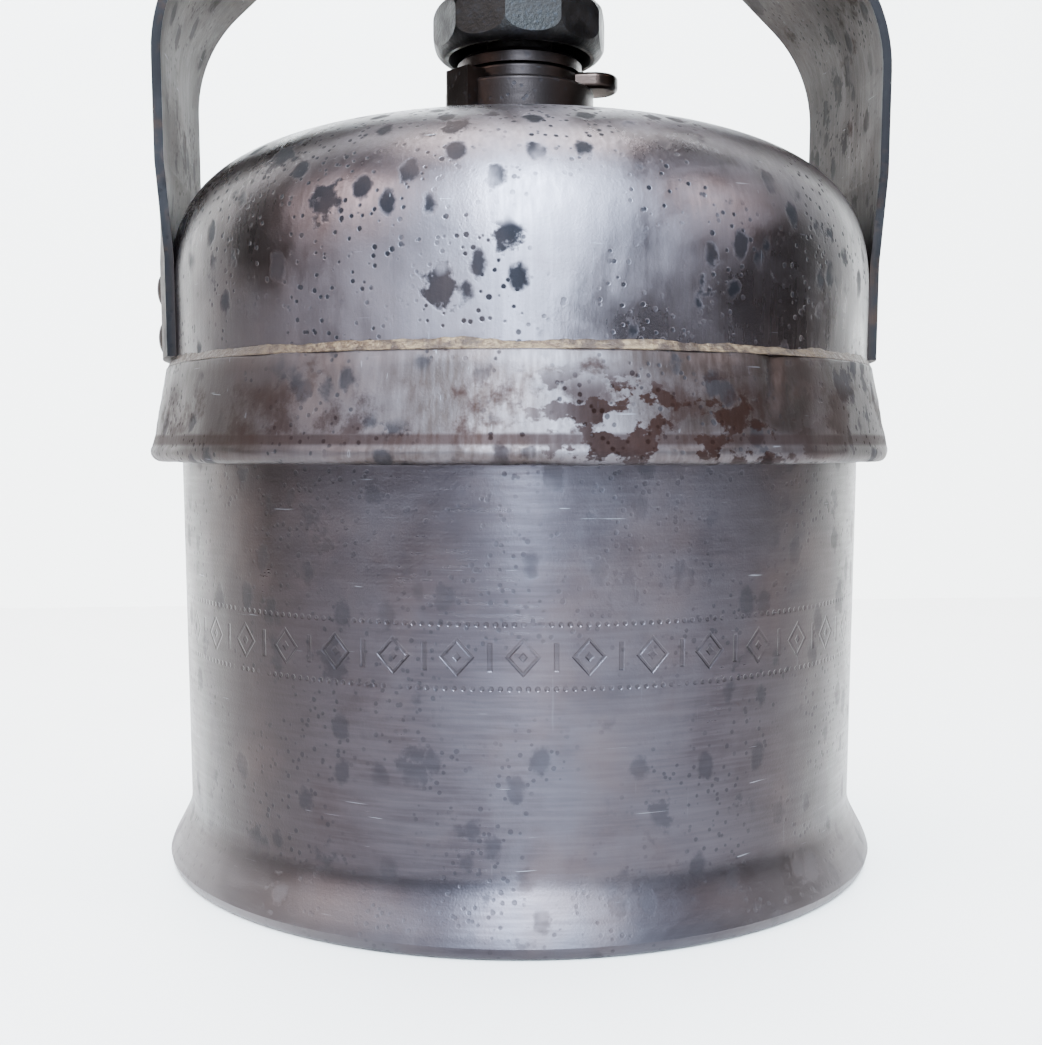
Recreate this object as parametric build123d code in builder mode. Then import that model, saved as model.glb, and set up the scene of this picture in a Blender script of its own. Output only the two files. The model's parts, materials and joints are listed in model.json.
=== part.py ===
"""Miner's carbide lamp, built as an assembly of separate pieces, in millimetres.

The lamp's axis is Z and it stands on z = 0. A drawn steel pot holds the carbide. A domed
water tank with a flared skirt screws down on it. A flat steel bail is riveted to the tank,
with the water valve under its arch and a swivel hook on top. The burner and its reflector
face +Y.
"""

import math
import os

from build123d import *

os.makedirs("parts", exist_ok=True)

# ---------------------------------------------------------------- driving dimensions
POT_R = 47.5  # outer radius of the carbide pot
TANK_R = 48.5  # outer radius of the water tank
SHEET = 1.0  # steel sheet of the pot
TANK_SHEET = 0.9  # steel sheet of the tank
FIT = 0.1  # radial clearance of a screwed fit
RUN = 0.05  # radial clearance of a running fit

# ---------------------------------------------------------------- heights
FOOT_TOP = 9.4  # where the foot flare meets the pot's straight wall
NECK_START = 56.0  # the pot's wall steps in above this, under the skirt
NECK_Z = 58.0
RIM_Z = 65.0  # top edge of the pot
FLOOR_Z = 67.0  # underside of the tank's floor
SEAM_Z = 68.3  # top edge of the skirt
SHOULDER_Z = 78.0  # where the dome's curve starts
DOME_Z = 100.0  # flat top of the dome
TANK_BOTTOM = 57.5  # lower edge of the tank's wall, inside the skirt

# ---------------------------------------------------------------- foot of the pot
FOOT_R = 50.6
FOOT_CURL = 1.7
FOOT_FLAT_R = (48.0, 49.3)
BEAD_RING_R = 35.0  # stiffening ring pressed up into the pot's bottom

NECK_R = 46.2
NECK_SHEET = 0.9
THREAD_R = 46.9  # outside of the pot's threaded ring

# ---------------------------------------------------------------- skirt
SKIRT_SHEET = 0.75
BEAD_R = 1.3
BEAD_CENTRE = (50.4, 57.1)

# ---------------------------------------------------------------- dome
DOME_FLAT_R = 9.3
DOME_RISE = 91.9  # height of the first control point of the dome's curve
DOME_REACH = 41.5  # radius of the second one

# ---------------------------------------------------------------- bail
BAIL_W = 32.0
BAIL_T = 1.2
BAIL_END_Z = 69.4
BAIL_HUG_R = TANK_R + 0.02  # inside of the bail where it lies on the tank
BAIL_HUG_Z = 82.0
BAIL_FLAT_Z = 94.0
BAIL_X = 48.0  # outside of the flat arms
BAIL_BEND_Z = 107.0
BAIL_BEND_R = 20.5
BAIL_BEND_DEG = 47.0
BAIL_SLOPE = 31.0  # straight run between the lower bend and the crown
BAIL_CROWN_R = 14.0
RIVET_Z = (72.8, 79.4)
RIVET_R = 1.5
RIVET_HEAD_R = 2.6

# ---------------------------------------------------------------- water valve
SPINDLE_R = 2.45
NECK_BODY_R = 10.4  # the valve body where it stands on the dome
NECK_TOP = 107.1
WASHER_R = 8.4
WASHER_TOP = 109.3
EAR_REACH = 13.8
GLAND_R = 8.7
GLAND_TOP = 111.2
KNOB_Z = 111.5
KNOB_TOP = 119.4
KNOB_R = 12.15  # over the corners of the knob's ten sides
KNOB_SIDES = 10
KNOB_TURN = 4.0
KNOB_HOLLOW_R = 10.0
HUB_R = 7.7
HUB_TOP = 125.0
EAR_TURN = -6.0  # degrees from +X
LUG_TURN = -142.0
SPINDLE_TOP = 119.0

# ---------------------------------------------------------------- burner
BURNER_Z = 77.0
RISER_Y = 34.0
TUBE_R = 4.0
TUBE_BORE = 2.4
REFLECTOR_R = 38.0
REFLECTOR_Y = 53.0
REFLECTOR_DEPTH = 16.0
REFLECTOR_SHEET = 0.7

# ---------------------------------------------------------------- filler
FILLER = (-20.0, 27.0)
FILLER_R = 7.5
FILLER_BORE = 6.7
FILLER_TOP = 101.5
HINGE_Y = FILLER[1] + 10.0
HINGE_Z = 102.6
PIN_R = 0.9

# ---------------------------------------------------------------- hook
WIRE_R = 2.6
HOOK_R = 17.0  # radius of the hook's centre line
STUD_R = 2.95


# ================================================================ carbide pot
with BuildPart() as pot_shell:
    with BuildSketch(Plane.XZ):
        with BuildLine():
            for inset in (0.0, SHEET):
                Bezier(
                    (POT_R - inset, FOOT_TOP),
                    (POT_R - inset, FOOT_TOP - 2.8),
                    (FOOT_R - 0.6 - inset, 4.0),
                    (FOOT_R - inset, FOOT_CURL),
                )
            Bezier(
                (FOOT_R, FOOT_CURL),
                (FOOT_R - 0.15, 0.8),
                (FOOT_FLAT_R[1] + 0.7, 0.0),
                (FOOT_FLAT_R[1], 0.0),
            )
            Polyline(
                (FOOT_FLAT_R[1], 0.0),
                (FOOT_FLAT_R[0], 0.0),
                (FOOT_FLAT_R[0], 0.9),
                (FOOT_R - SHEET, FOOT_CURL),
            )
            Polyline(
                (POT_R, FOOT_TOP),
                (POT_R, NECK_START),
                (NECK_R, NECK_Z),
                (NECK_R, RIM_Z),
                (NECK_R - NECK_SHEET, RIM_Z),
                (NECK_R - NECK_SHEET, NECK_Z - 0.5),
                (POT_R - SHEET, NECK_START - 0.6),
                (POT_R - SHEET, FOOT_TOP),
            )
        make_face()
    revolve(axis=Axis.Z)
pot_shell.part.label = "pot_shell"
export_step(pot_shell.part, "parts/pot_shell.step")

with BuildPart() as pot_bottom:
    with BuildSketch(Plane.XY):
        Circle(FOOT_FLAT_R[0])
    extrude(amount=SHEET)
    with BuildSketch(Plane.XZ):
        with Locations((BEAD_RING_R, 0)):
            Circle(1.9)
    revolve(axis=Axis.Z)
    with BuildSketch(Plane.XZ):
        with Locations((BEAD_RING_R, 0)):
            Circle(0.9)
    revolve(axis=Axis.Z, mode=Mode.SUBTRACT)
    split(bisect_by=Plane.XY, keep=Keep.TOP)
pot_bottom.part.label = "pot_bottom"
export_step(pot_bottom.part, "parts/pot_bottom.step")

with BuildPart() as pot_thread_ring:
    with BuildSketch(Plane.XY.offset(NECK_Z + 0.6)):
        Circle(THREAD_R)
        Circle(NECK_R, mode=Mode.SUBTRACT)
    extrude(amount=5.6)
    chamfer(pot_thread_ring.edges().sort_by(Axis.Z)[-1], length=0.3)
pot_thread_ring.part.label = "pot_thread_ring"
export_step(pot_thread_ring.part, "parts/pot_thread_ring.step")

# ================================================================ gasket
with BuildPart() as tank_gasket:
    with BuildSketch(Plane.XY.offset(RIM_Z)):
        Circle(THREAD_R - 0.35)
        Circle(43.5, mode=Mode.SUBTRACT)
    extrude(amount=FLOOR_Z - RIM_Z)
    fillet(tank_gasket.edges(), radius=0.3)
tank_gasket.part.label = "tank_gasket"
export_step(tank_gasket.part, "parts/tank_gasket.step")

# ================================================================ water tank
with BuildPart() as tank_dome:
    with BuildSketch(Plane.XZ):
        with BuildLine():
            for inset in (0.0, TANK_SHEET):
                Bezier(
                    (TANK_R - inset, SHOULDER_Z),
                    (TANK_R - inset, DOME_RISE - inset),
                    (DOME_REACH - inset / 2, DOME_Z - inset),
                    (DOME_FLAT_R, DOME_Z - inset),
                )
                Line((DOME_FLAT_R, DOME_Z - inset), (0.0, DOME_Z - inset))
                Line((TANK_R - inset, SHOULDER_Z), (TANK_R - inset, TANK_BOTTOM))
            Line((0.0, DOME_Z - TANK_SHEET), (0.0, DOME_Z))
            Line((TANK_R - TANK_SHEET, TANK_BOTTOM), (TANK_R, TANK_BOTTOM))
        make_face()
    revolve(axis=Axis.Z)
    with BuildSketch(Plane.XY.offset(DOME_Z - 15)):
        Circle(6.5)
        with Locations(FILLER):
            Circle(FILLER_R + RUN)
    extrude(amount=20, mode=Mode.SUBTRACT)
    with BuildSketch(Plane.XZ.offset(-40)):
        with Locations((0, BURNER_Z)):
            Circle(TUBE_R + RUN)
    extrude(amount=-15, mode=Mode.SUBTRACT)
    with BuildSketch(Plane.YZ.offset(-60)):
        with Locations(*[(0, z) for z in RIVET_Z]):
            Circle(RIVET_R)
    extrude(amount=120, mode=Mode.SUBTRACT)
tank_dome.part.label = "tank_dome"
export_step(tank_dome.part, "parts/tank_dome.step")

with BuildPart() as tank_floor:
    with BuildSketch(Plane.XY.offset(FLOOR_Z)):
        Circle(TANK_R - TANK_SHEET - 0.03)
    extrude(amount=3.0)
    top = tank_floor.faces().sort_by(Axis.Z)[-1]
    offset(amount=-TANK_SHEET, openings=top)
    with BuildSketch(Plane.XY.offset(FLOOR_Z - 1)):
        Circle(5.0)
        with Locations((0, RISER_Y)):
            Circle(3.55)
    extrude(amount=4, mode=Mode.SUBTRACT)
tank_floor.part.label = "tank_floor"
export_step(tank_floor.part, "parts/tank_floor.step")

with BuildPart() as skirt:
    with BuildSketch(Plane.XZ):
        with BuildLine():
            Polyline(
                (TANK_R, SEAM_Z),
                (TANK_R + SKIRT_SHEET, SEAM_Z),
                (BEAD_CENTRE[0] + 1.1, BEAD_CENTRE[1]),
                (BEAD_CENTRE[0] + 0.3, BEAD_CENTRE[1]),
                (TANK_R, SEAM_Z - 1.2),
                close=True,
            )
        make_face()
        with Locations(BEAD_CENTRE):
            Circle(BEAD_R)
    revolve(axis=Axis.Z)
skirt.part.label = "skirt"
export_step(skirt.part, "parts/skirt.step")

with BuildPart() as seam_solder:
    with BuildSketch(Plane.XZ):
        with BuildLine():
            Polyline(
                (TANK_R, SEAM_Z),
                (TANK_R + 0.7, SEAM_Z),
                (TANK_R + 0.65, SEAM_Z + 0.6),
                (TANK_R, SEAM_Z + 1.05),
                close=True,
            )
        make_face()
    revolve(axis=Axis.Z)
seam_solder.part.label = "seam_solder"
export_step(seam_solder.part, "parts/seam_solder.step")

with BuildPart() as closure_ring:
    with BuildSketch(Plane.XY.offset(NECK_Z + 0.2)):
        Circle(TANK_R - TANK_SHEET)
        Circle(THREAD_R + FIT, mode=Mode.SUBTRACT)
    extrude(amount=7.8)
closure_ring.part.label = "closure_ring"
export_step(closure_ring.part, "parts/closure_ring.step")


# ================================================================ bail
def bail_half(inset):
    """Half of the bail's outline in XZ, from the flat arm to the middle; returns its top."""
    turn = math.radians(BAIL_BEND_DEG)
    bend = Vector(BAIL_X - BAIL_BEND_R, BAIL_BEND_Z)
    outward = Vector(math.cos(turn), math.sin(turn))
    uphill = Vector(-math.sin(turn), math.cos(turn))
    crown = bend + outward * (BAIL_BEND_R - BAIL_CROWN_R) + uphill * BAIL_SLOPE
    Line((BAIL_X - inset, BAIL_FLAT_Z), (BAIL_X - inset, BAIL_BEND_Z))
    low = CenterArc(bend, BAIL_BEND_R - inset, 0, BAIL_BEND_DEG)
    high = CenterArc(crown, BAIL_CROWN_R - inset, BAIL_BEND_DEG, 90 - BAIL_BEND_DEG)
    Line(low @ 1, high @ 0)
    Line(high @ 1, (0, crown.Y + BAIL_CROWN_R - inset))
    return crown.Y + BAIL_CROWN_R


with BuildPart() as bail_strap:
    with BuildSketch(Plane.XZ):
        with BuildLine():
            bail_top = bail_half(0.0)
            bail_half(BAIL_T)
            Line((BAIL_X, BAIL_FLAT_Z), (BAIL_X - BAIL_T, BAIL_FLAT_Z))
            Line((0, bail_top), (0, bail_top - BAIL_T))
        make_face()
    extrude(amount=BAIL_W / 2, both=True)
    half_angle = math.degrees(BAIL_W / 2 / (BAIL_HUG_R + BAIL_T / 2))
    for z in (BAIL_END_Z, BAIL_HUG_Z):
        with BuildSketch(Plane.XY.offset(z)):
            with BuildLine():
                outer = CenterArc((0, 0), BAIL_HUG_R + BAIL_T, -half_angle, 2 * half_angle)
                inner = CenterArc((0, 0), BAIL_HUG_R, -half_angle, 2 * half_angle)
                Line(outer @ 0, inner @ 0)
                Line(outer @ 1, inner @ 1)
            make_face()
        if z == BAIL_END_Z:
            extrude(amount=BAIL_HUG_Z - BAIL_END_Z)
    with BuildSketch(Plane.XY.offset(BAIL_FLAT_Z)):
        with Locations((BAIL_X - BAIL_T / 2, 0)):
            Rectangle(BAIL_T, BAIL_W)
    loft()
    mirror(about=Plane.YZ)
    with BuildSketch(Plane.YZ.offset(-60)):
        with Locations(*[(0, z) for z in RIVET_Z]):
            Circle(RIVET_R)
    extrude(amount=120, mode=Mode.SUBTRACT)
    with BuildSketch(Plane.XY.offset(bail_top - 5)):
        Circle(STUD_R + RUN)
    extrude(amount=10, mode=Mode.SUBTRACT)
bail_strap.part.label = "bail_strap"
export_step(bail_strap.part, "parts/bail_strap.step")

with BuildPart() as bail_rivets:
    inner_x = TANK_R - TANK_SHEET - 0.3
    outer_x = BAIL_HUG_R + BAIL_T
    for z in RIVET_Z:
        with BuildSketch(Plane.XZ):
            with BuildLine():
                Polyline(
                    (outer_x + 1.1, z),
                    (inner_x - 0.8, z),
                    (inner_x - 0.8, z + RIVET_HEAD_R - 0.6),
                    (inner_x, z + RIVET_HEAD_R - 0.4),
                    (inner_x, z + RIVET_R),
                    (outer_x, z + RIVET_R),
                    (outer_x, z + RIVET_HEAD_R),
                )
                Bezier(
                    (outer_x, z + RIVET_HEAD_R),
                    (outer_x + 0.8, z + RIVET_HEAD_R - 0.4),
                    (outer_x + 1.1, z + 1.2),
                    (outer_x + 1.1, z),
                )
            make_face()
        revolve(axis=Axis((0, 0, z), (1, 0, 0)))
    mirror(about=Plane.YZ)
bail_rivets.part.label = "bail_rivets"
export_step(bail_rivets.part, "parts/bail_rivets.step")

# ================================================================ water valve
with BuildPart() as valve_body:
    with BuildSketch(Plane.XY.offset(DOME_Z)):
        Circle(NECK_BODY_R)
    extrude(amount=NECK_TOP - DOME_Z)
    fillet(valve_body.edges().sort_by(Axis.Z)[-1], radius=0.5)
    with BuildSketch(Plane.XY.offset(DOME_Z)):
        with Locations(Location((0, 0), LUG_TURN)):
            with Locations((10.2, 0)):
                Rectangle(3.2, 5.0)
    extrude(amount=8.4)
    lug_corner = valve_body.edges().filter_by(Axis.Z).sort_by(Axis.X)[0]
    fillet(lug_corner, radius=0.8)
    with BuildSketch(Plane.XY.offset(DOME_Z - 6)):
        Circle(6.4)
    extrude(amount=6)
    with BuildSketch(Plane.XY.offset(DOME_Z - 6)):
        Circle(SPINDLE_R + FIT)
    extrude(amount=20, mode=Mode.SUBTRACT)
    with BuildSketch(Plane.XY.offset(DOME_Z + 1.5)):
        Circle(5.0)
    extrude(amount=10, mode=Mode.SUBTRACT)
valve_body.part.label = "valve_body"
export_step(valve_body.part, "parts/valve_body.step")

with BuildPart() as valve_locknut:
    with BuildSketch(Plane.XY.offset(DOME_Z - TANK_SHEET - 0.05)):
        RegularPolygon(10.5, 6)
        Circle(6.4, mode=Mode.SUBTRACT)
    extrude(amount=-3.6)
valve_locknut.part.label = "valve_locknut"
export_step(valve_locknut.part, "parts/valve_locknut.step")

with BuildPart() as gland_packing:
    with BuildSketch(Plane.XY.offset(DOME_Z + 1.5)):
        Circle(4.9)
        Circle(SPINDLE_R + RUN, mode=Mode.SUBTRACT)
    extrude(amount=3.4)
    fillet(gland_packing.edges(), radius=0.5)
gland_packing.part.label = "gland_packing"
export_step(gland_packing.part, "parts/gland_packing.step")

with BuildPart() as gland_nut:
    with BuildSketch(Plane.XY.offset(DOME_Z + 5.2)):
        Circle(4.95)
    extrude(amount=WASHER_TOP - DOME_Z - 5.2)
    with BuildSketch(Plane.XY.offset(WASHER_TOP)):
        Circle(GLAND_R)
    extrude(amount=GLAND_TOP - WASHER_TOP)
    chamfer(gland_nut.edges().sort_by(Axis.Z)[-1], length=0.6)
    with BuildSketch(Plane.XY.offset(DOME_Z)):
        Circle(SPINDLE_R + RUN)
    extrude(amount=20, mode=Mode.SUBTRACT)
gland_nut.part.label = "gland_nut"
export_step(gland_nut.part, "parts/gland_nut.step")

with BuildPart() as index_washer:
    with BuildSketch(Plane.XY.offset(NECK_TOP)):
        Circle(WASHER_R)
        with Locations(Location((0, 0), EAR_TURN)):
            with Locations((EAR_REACH / 2, 0)):
                SlotOverall(EAR_REACH, 6.4)
        Circle(4.95 + FIT, mode=Mode.SUBTRACT)
    extrude(amount=WASHER_TOP - NECK_TOP)
    fillet(index_washer.faces().sort_by(Axis.Z)[-1].outer_wire().edges(), radius=0.6)
    fillet(index_washer.faces().sort_by(Axis.Z)[0].outer_wire().edges(), radius=0.6)
index_washer.part.label = "index_washer"
export_step(index_washer.part, "parts/index_washer.step")

with BuildPart() as regulator_knob:
    with BuildSketch(Plane.XY.offset(KNOB_Z)):
        RegularPolygon(KNOB_R, KNOB_SIDES, rotation=KNOB_TURN)
    extrude(amount=KNOB_TOP - KNOB_Z)
    with BuildSketch(Plane.XZ):
        with BuildLine():
            lower = Bezier(
                (KNOB_HOLLOW_R + 0.5, KNOB_Z),
                (KNOB_R - 0.7, KNOB_Z + 0.3),
                (KNOB_R, KNOB_Z + 1.4),
                (KNOB_R, KNOB_Z + 2.9),
            )
            upper = Bezier(
                (KNOB_R, KNOB_TOP - 3.4),
                (KNOB_R, KNOB_TOP - 1.6),
                (KNOB_R - 1.0, KNOB_TOP - 0.5),
                (HUB_R + 0.6, KNOB_TOP),
            )
            Line(lower @ 1, upper @ 0)
            Polyline(upper @ 1, (0, KNOB_TOP), (0, KNOB_Z), lower @ 0)
        make_face()
    revolve(axis=Axis.Z, mode=Mode.INTERSECT)
    with BuildSketch(Plane.XY.offset(KNOB_TOP)):
        Circle(HUB_R)
    extrude(amount=HUB_TOP - KNOB_TOP)
    fillet(regulator_knob.edges().sort_by(Axis.Z)[-1], radius=0.8)
    with BuildSketch(Plane.XY.offset(KNOB_Z)):
        Circle(KNOB_HOLLOW_R)
        Circle(4.6, mode=Mode.SUBTRACT)
    extrude(amount=4.5, mode=Mode.SUBTRACT)
    with BuildSketch(Plane.XY.offset(KNOB_Z)):
        Circle(SPINDLE_R + 0.02)
    extrude(amount=SPINDLE_TOP + 0.1 - KNOB_Z, mode=Mode.SUBTRACT)
    with BuildSketch(Plane.XY.offset(KNOB_Z)):
        Circle(1.5)
    extrude(amount=20, mode=Mode.SUBTRACT)
regulator_knob.part.label = "regulator_knob"
export_step(regulator_knob.part, "parts/regulator_knob.step")

with BuildPart() as knob_screw:
    with BuildSketch(Plane.XY.offset(SPINDLE_TOP + 0.3)):
        Circle(1.48)
    extrude(amount=HUB_TOP - SPINDLE_TOP - 0.3)
    with BuildSketch(Plane.XY.offset(HUB_TOP)):
        Circle(3.4)
    extrude(amount=1.9)
    fillet(knob_screw.edges().group_by(Axis.Z)[-1], radius=0.6)
    with BuildSketch(Plane.XY.offset(HUB_TOP + 0.9)):
        Rectangle(8, 0.9, rotation=25)
    extrude(amount=2, mode=Mode.SUBTRACT)
knob_screw.part.label = "knob_screw"
export_step(knob_screw.part, "parts/knob_screw.step")

with BuildPart() as valve_needle:
    with BuildSketch(Plane.XZ):
        with BuildLine():
            Polyline(
                (0, FLOOR_Z - 0.7),
                (0.35, FLOOR_Z - 0.7),
                (1.1, FLOOR_Z + 0.45),
                (SPINDLE_R, FLOOR_Z + 2.45),
                (SPINDLE_R, SPINDLE_TOP - 0.4),
                (SPINDLE_R - 0.4, SPINDLE_TOP),
                (0, SPINDLE_TOP),
                close=True,
            )
        make_face()
    revolve(axis=Axis.Z)
valve_needle.part.label = "valve_needle"
export_step(valve_needle.part, "parts/valve_needle.step")

with BuildPart() as valve_seat:
    with BuildSketch(Plane.XZ):
        with BuildLine():
            Polyline(
                (1.2, 60.0),
                (3.0, 60.0),
                (3.0, 64.0),
                (4.95, 64.0),
                (4.95, FLOOR_Z + TANK_SHEET + 0.02),
                (7.5, FLOOR_Z + TANK_SHEET + 0.02),
                (7.5, FLOOR_Z + 3.0),
                (2.9, FLOOR_Z + 3.0),
                (1.2, FLOOR_Z + 0.5),
                close=True,
            )
        make_face()
    revolve(axis=Axis.Z)
valve_seat.part.label = "valve_seat"
export_step(valve_seat.part, "parts/valve_seat.step")

with BuildPart() as drip_tube:
    with BuildSketch(Plane.XY.offset(48)):
        Circle(3.9)
        Circle(3.03, mode=Mode.SUBTRACT)
    extrude(amount=15.9)
    with BuildSketch(Plane.XZ):
        with Locations((0, 52), (0, 56)):
            Circle(0.8)
    extrude(amount=10, both=True, mode=Mode.SUBTRACT)
drip_tube.part.label = "drip_tube"
export_step(drip_tube.part, "parts/drip_tube.step")

# ================================================================ gas path and burner
with BuildPart() as filter_cup:
    with BuildSketch(Plane.XY.offset(60)):
        with Locations((0, RISER_Y)):
            Circle(7.5)
    extrude(amount=FLOOR_Z - 60)
    top = filter_cup.faces().sort_by(Axis.Z)[-1]
    offset(amount=-0.7, openings=top)
    with BuildSketch(Plane.XY.offset(59)):
        with Locations((0, RISER_Y)):
            with PolarLocations(4.4, 8):
                Circle(0.8)
            Circle(0.8)
    extrude(amount=3, mode=Mode.SUBTRACT)
filter_cup.part.label = "filter_cup"
export_step(filter_cup.part, "parts/filter_cup.step")

with BuildPart() as filter_felt:
    with BuildSketch(Plane.XY.offset(60.8)):
        with Locations((0, RISER_Y)):
            Circle(6.7)
    extrude(amount=3.5)
    fillet(filter_felt.edges(), radius=0.5)
filter_felt.part.label = "filter_felt"
export_step(filter_felt.part, "parts/filter_felt.step")

with BuildPart() as gas_riser:
    with BuildSketch(Plane.XY.offset(65)):
        with Locations((0, RISER_Y)):
            Circle(3.5)
            Circle(2.6, mode=Mode.SUBTRACT)
    extrude(amount=BURNER_Z - 65 - 2.8)
gas_riser.part.label = "gas_riser"
export_step(gas_riser.part, "parts/gas_riser.step")

with BuildPart() as gas_elbow:
    with BuildSketch(Plane.XZ.offset(-27.5)):
        with Locations((0, BURNER_Z)):
            Circle(5.6)
    extrude(amount=-18)
    with BuildSketch(Plane.XZ.offset(-31.5)):
        with Locations((0, BURNER_Z)):
            Circle(TUBE_BORE)
    extrude(amount=-20, mode=Mode.SUBTRACT)
    with BuildSketch(Plane.XZ.offset(-40)):
        with Locations((0, BURNER_Z)):
            Circle(TUBE_R + RUN)
    extrude(amount=-20, mode=Mode.SUBTRACT)
    with BuildSketch(Plane.XY.offset(BURNER_Z - 2.8)):
        with Locations((0, RISER_Y)):
            Circle(3.5)
    extrude(amount=-10, mode=Mode.SUBTRACT)
    with BuildSketch(Plane.XY.offset(BURNER_Z)):
        with Locations((0, RISER_Y)):
            Circle(TUBE_BORE)
    extrude(amount=-10, mode=Mode.SUBTRACT)
gas_elbow.part.label = "gas_elbow"
export_step(gas_elbow.part, "parts/gas_elbow.step")

with BuildPart() as burner_tube:
    with BuildSketch(Plane.XZ.offset(-40)):
        with Locations((0, BURNER_Z)):
            Circle(TUBE_R)
            Circle(TUBE_BORE, mode=Mode.SUBTRACT)
    extrude(amount=-22.5)
burner_tube.part.label = "burner_tube"
export_step(burner_tube.part, "parts/burner_tube.step")

with BuildPart() as burner_socket:
    with BuildSketch(Plane.XZ.offset(-44)):
        with Locations((0, BURNER_Z)):
            Circle(7.6)
    extrude(amount=-(REFLECTOR_Y - 44))
    fillet(burner_socket.edges().sort_by(Axis.Y)[-1], radius=1.0)
    with BuildSketch(Plane.XY.offset(BURNER_Z - 20)):
        Circle(TANK_R + 0.02)
    extrude(amount=40, mode=Mode.SUBTRACT)
    with BuildSketch(Plane.XZ.offset(-40)):
        with Locations((0, BURNER_Z)):
            Circle(TUBE_R + RUN)
    extrude(amount=-20, mode=Mode.SUBTRACT)
burner_socket.part.label = "burner_socket"
export_step(burner_socket.part, "parts/burner_socket.step")

with BuildPart() as reflector:
    with BuildSketch(Plane.YZ):
        with BuildLine():
            for inset in (0.0, REFLECTOR_SHEET):
                Line(
                    (REFLECTOR_Y + inset, BURNER_Z + TUBE_R + RUN),
                    (REFLECTOR_Y + inset, BURNER_Z + 11.0),
                )
                Bezier(
                    (REFLECTOR_Y + inset, BURNER_Z + 11.0),
                    (REFLECTOR_Y + inset, BURNER_Z + 22.0),
                    (REFLECTOR_Y + 7.0 + inset, BURNER_Z + 31.0),
                    (REFLECTOR_Y + REFLECTOR_DEPTH + inset * 0.5, BURNER_Z + REFLECTOR_R - inset * 0.8),
                )
            Line(
                (REFLECTOR_Y, BURNER_Z + TUBE_R + RUN),
                (REFLECTOR_Y + REFLECTOR_SHEET, BURNER_Z + TUBE_R + RUN),
            )
            Line(
                (REFLECTOR_Y + REFLECTOR_DEPTH, BURNER_Z + REFLECTOR_R),
                (
                    REFLECTOR_Y + REFLECTOR_DEPTH + REFLECTOR_SHEET * 0.5,
                    BURNER_Z + REFLECTOR_R - REFLECTOR_SHEET * 0.8,
                ),
            )
        make_face()
        with Locations((REFLECTOR_Y + REFLECTOR_DEPTH + 0.5, BURNER_Z + REFLECTOR_R + 0.3)):
            Circle(1.2)
    revolve(axis=Axis((0, 0, BURNER_Z), (0, 1, 0)))
reflector.part.label = "reflector"
export_step(reflector.part, "parts/reflector.step")

with BuildPart() as reflector_nut:
    with BuildSketch(Plane.XZ.offset(-(REFLECTOR_Y + REFLECTOR_SHEET))):
        with Locations((0, BURNER_Z)):
            RegularPolygon(7.6, 6)
            Circle(TUBE_R + RUN, mode=Mode.SUBTRACT)
    extrude(amount=-4)
reflector_nut.part.label = "reflector_nut"
export_step(reflector_nut.part, "parts/reflector_nut.step")

with BuildPart() as burner_holder:
    with BuildSketch(Plane.YZ):
        with BuildLine():
            Polyline(
                (REFLECTOR_Y + 5.2, BURNER_Z + TUBE_R + RUN),
                (REFLECTOR_Y + 5.2, BURNER_Z + 5.6),
                (REFLECTOR_Y + 8.2, BURNER_Z + 5.6),
                (REFLECTOR_Y + 9.0, BURNER_Z + 5.0),
                (REFLECTOR_Y + 13.0, BURNER_Z + 5.0),
                (REFLECTOR_Y + 13.6, BURNER_Z + 4.4),
                (REFLECTOR_Y + 13.6, BURNER_Z + 3.3),
                (REFLECTOR_Y + 9.7, BURNER_Z + 3.3),
                (REFLECTOR_Y + 9.7, BURNER_Z + TUBE_R + RUN),
                close=True,
            )
        make_face()
    revolve(axis=Axis((0, 0, BURNER_Z), (0, 1, 0)))
burner_holder.part.label = "burner_holder"
export_step(burner_holder.part, "parts/burner_holder.step")

with BuildPart() as burner_tip:
    with BuildSketch(Plane.YZ):
        with BuildLine():
            base = REFLECTOR_Y + 9.9
            Polyline(
                (base, BURNER_Z),
                (base, BURNER_Z + 3.25),
                (base + 5.6, BURNER_Z + 3.25),
                (base + 6.4, BURNER_Z + 2.6),
                (base + 9.8, BURNER_Z + 2.2),
                (base + 10.6, BURNER_Z + 1.2),
                (base + 10.6, BURNER_Z),
                close=True,
            )
        make_face()
    revolve(axis=Axis((0, 0, BURNER_Z), (0, 1, 0)))
    with BuildSketch(Plane.XZ.offset(-60)):
        with Locations((0, BURNER_Z)):
            Circle(0.45)
    extrude(amount=-20, mode=Mode.SUBTRACT)
burner_tip.part.label = "burner_tip"
export_step(burner_tip.part, "parts/burner_tip.step")

# ================================================================ water filler
with BuildPart() as filler_tube:
    with BuildSketch(Plane.XY.offset(90)):
        with Locations(FILLER):
            Circle(FILLER_R)
            Circle(FILLER_BORE, mode=Mode.SUBTRACT)
    extrude(amount=FILLER_TOP - 90)
filler_tube.part.label = "filler_tube"
export_step(filler_tube.part, "parts/filler_tube.step")

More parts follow.
